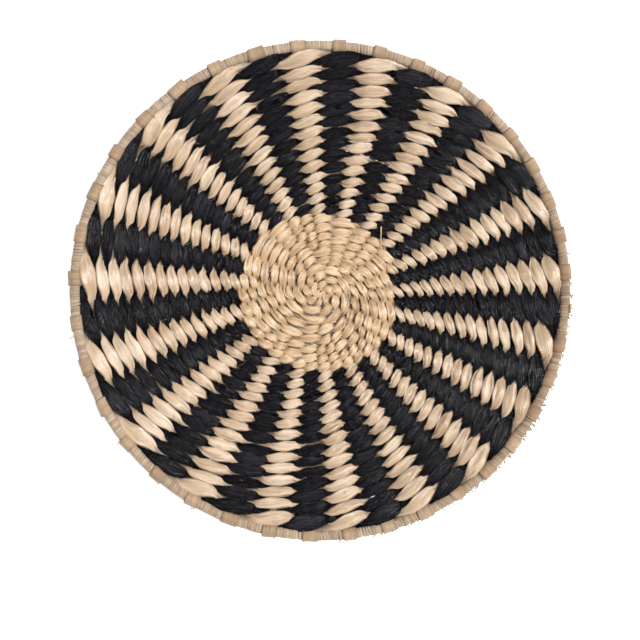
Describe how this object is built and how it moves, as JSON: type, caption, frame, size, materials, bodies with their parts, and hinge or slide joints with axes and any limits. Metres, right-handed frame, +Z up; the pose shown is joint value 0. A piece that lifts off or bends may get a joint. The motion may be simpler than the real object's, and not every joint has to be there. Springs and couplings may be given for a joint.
{
  "type": "woven mat",
  "caption": "Round hand-twined straw mat, a shallow dish with a natural centre disc, tan and black radial columns and a raffia-bound rim with folded tabs",
  "frame": {"origin": "middle of the mat, on the plane that it stands on", "axes": "+Z up out of the dish; +Y towards the edge that is uppermost in the usual view from above; +X to the right of it"},
  "size_m": [0.2499, 0.2498, 0.0227],
  "materials": {
    "natural_husk": "satin",
    "black_husk": "satin",
    "warp_husk": "matte",
    "raffia": "satin",
    "cane": "matte"
  },
  "bodies": {
    "root": {"through_warps": "warp_husk", "inserted_warps_early": "warp_husk", "inserted_warps_middle": "warp_husk", "inserted_warps_late": "warp_husk", "rim_hoop": "cane", "rim_binding": "raffia", "centre_strand_a_strip_01": "natural_husk", "centre_strand_a_strip_02": "natural_husk", "centre_strand_a_strip_03": "natural_husk", "centre_strand_a_strip_04": "natural_husk", "centre_strand_a_strip_05": "natural_husk", "centre_strand_a_strip_06": "natural_husk", "centre_strand_a_strip_07": "natural_husk", "centre_strand_a_strip_08": "natural_husk", "centre_strand_a_strip_09": "natural_husk", "centre_strand_a_strip_10": "natural_husk", "centre_strand_b_strip_01": "natural_husk", "centre_strand_b_strip_02": "natural_husk", "centre_strand_b_strip_03": "natural_husk", "centre_strand_b_strip_04": "natural_husk", "centre_strand_b_strip_05": "natural_husk", "centre_strand_b_strip_06": "natural_husk", "centre_strand_b_strip_07": "natural_husk", "centre_strand_b_strip_08": "natural_husk", "centre_strand_b_strip_09": "natural_husk", "centre_strand_b_strip_10": "natural_husk", "natural_weft_row_01": "natural_husk", "natural_weft_row_02": "natural_husk", "natural_weft_row_03": "natural_husk", "natural_weft_row_04": "natural_husk", "natural_weft_row_05": "natural_husk", "natural_weft_row_06": "natural_husk", "natural_weft_row_07": "natural_husk", "natural_weft_row_08": "natural_husk", "natural_weft_row_09": "natural_husk", "natural_weft_row_10": "natural_husk", "natural_weft_row_11": "natural_husk", "natural_weft_row_12": "natural_husk", "natural_weft_row_13": "natural_husk", "natural_weft_row_14": "natural_husk", "black_weft_row_01": "black_husk", "black_weft_row_02": "black_husk", "black_weft_row_03": "black_husk", "black_weft_row_04": "black_husk", "black_weft_row_05": "black_husk", "black_weft_row_06": "black_husk", "black_weft_row_07": "black_husk", "black_weft_row_08": "black_husk", "black_weft_row_09": "black_husk", "black_weft_row_10": "black_husk", "black_weft_row_11": "black_husk", "black_weft_row_12": "black_husk", "black_weft_row_13": "black_husk", "black_weft_row_14": "black_husk"}
  },
  "joints": []
}
